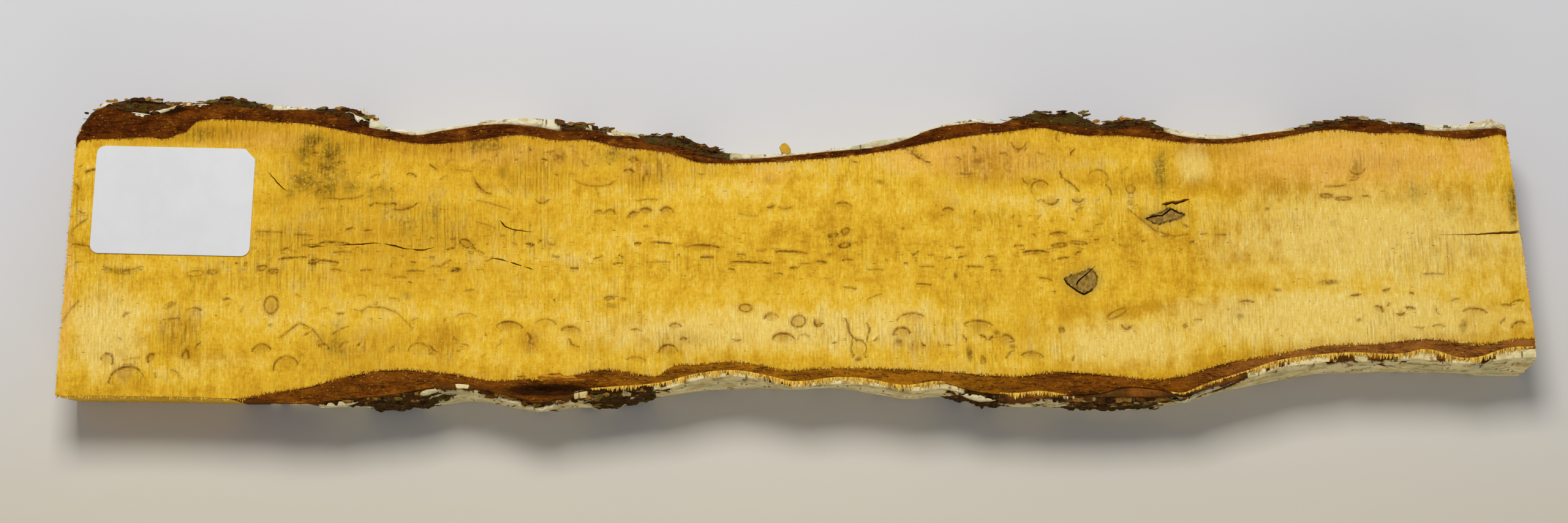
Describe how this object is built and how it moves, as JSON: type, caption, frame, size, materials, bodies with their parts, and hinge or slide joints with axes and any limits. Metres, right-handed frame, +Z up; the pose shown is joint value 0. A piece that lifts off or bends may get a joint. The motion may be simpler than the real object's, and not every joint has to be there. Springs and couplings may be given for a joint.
{
  "type": "birch wood slab",
  "caption": "Long sawn slab of figured birch with bark on both long edges, lying on its back, with a blank stock tag on its face.",
  "frame": {"origin": "on the surface that the slab lies on, under the middle of its box", "axes": "+X along the grain, +Y across the board towards the edge beside the tag, +Z up out of the figured face"},
  "size_m": [0.7621, 0.1648, 0.0402],
  "materials": {
    "sawn_birch": "rough-sawn and dry, golden ochre with brown figure flecks",
    "inner_bark": "red-brown inner bark, sawn through and speckled",
    "outer_bark": "cream-white papery bark with dark rough patches",
    "white_card": "smooth matt white card, blank"
  },
  "bodies": {
    "root": {"birch_slab": "sawn_birch", "blank_tag": "white_card"}
  },
  "joints": []
}
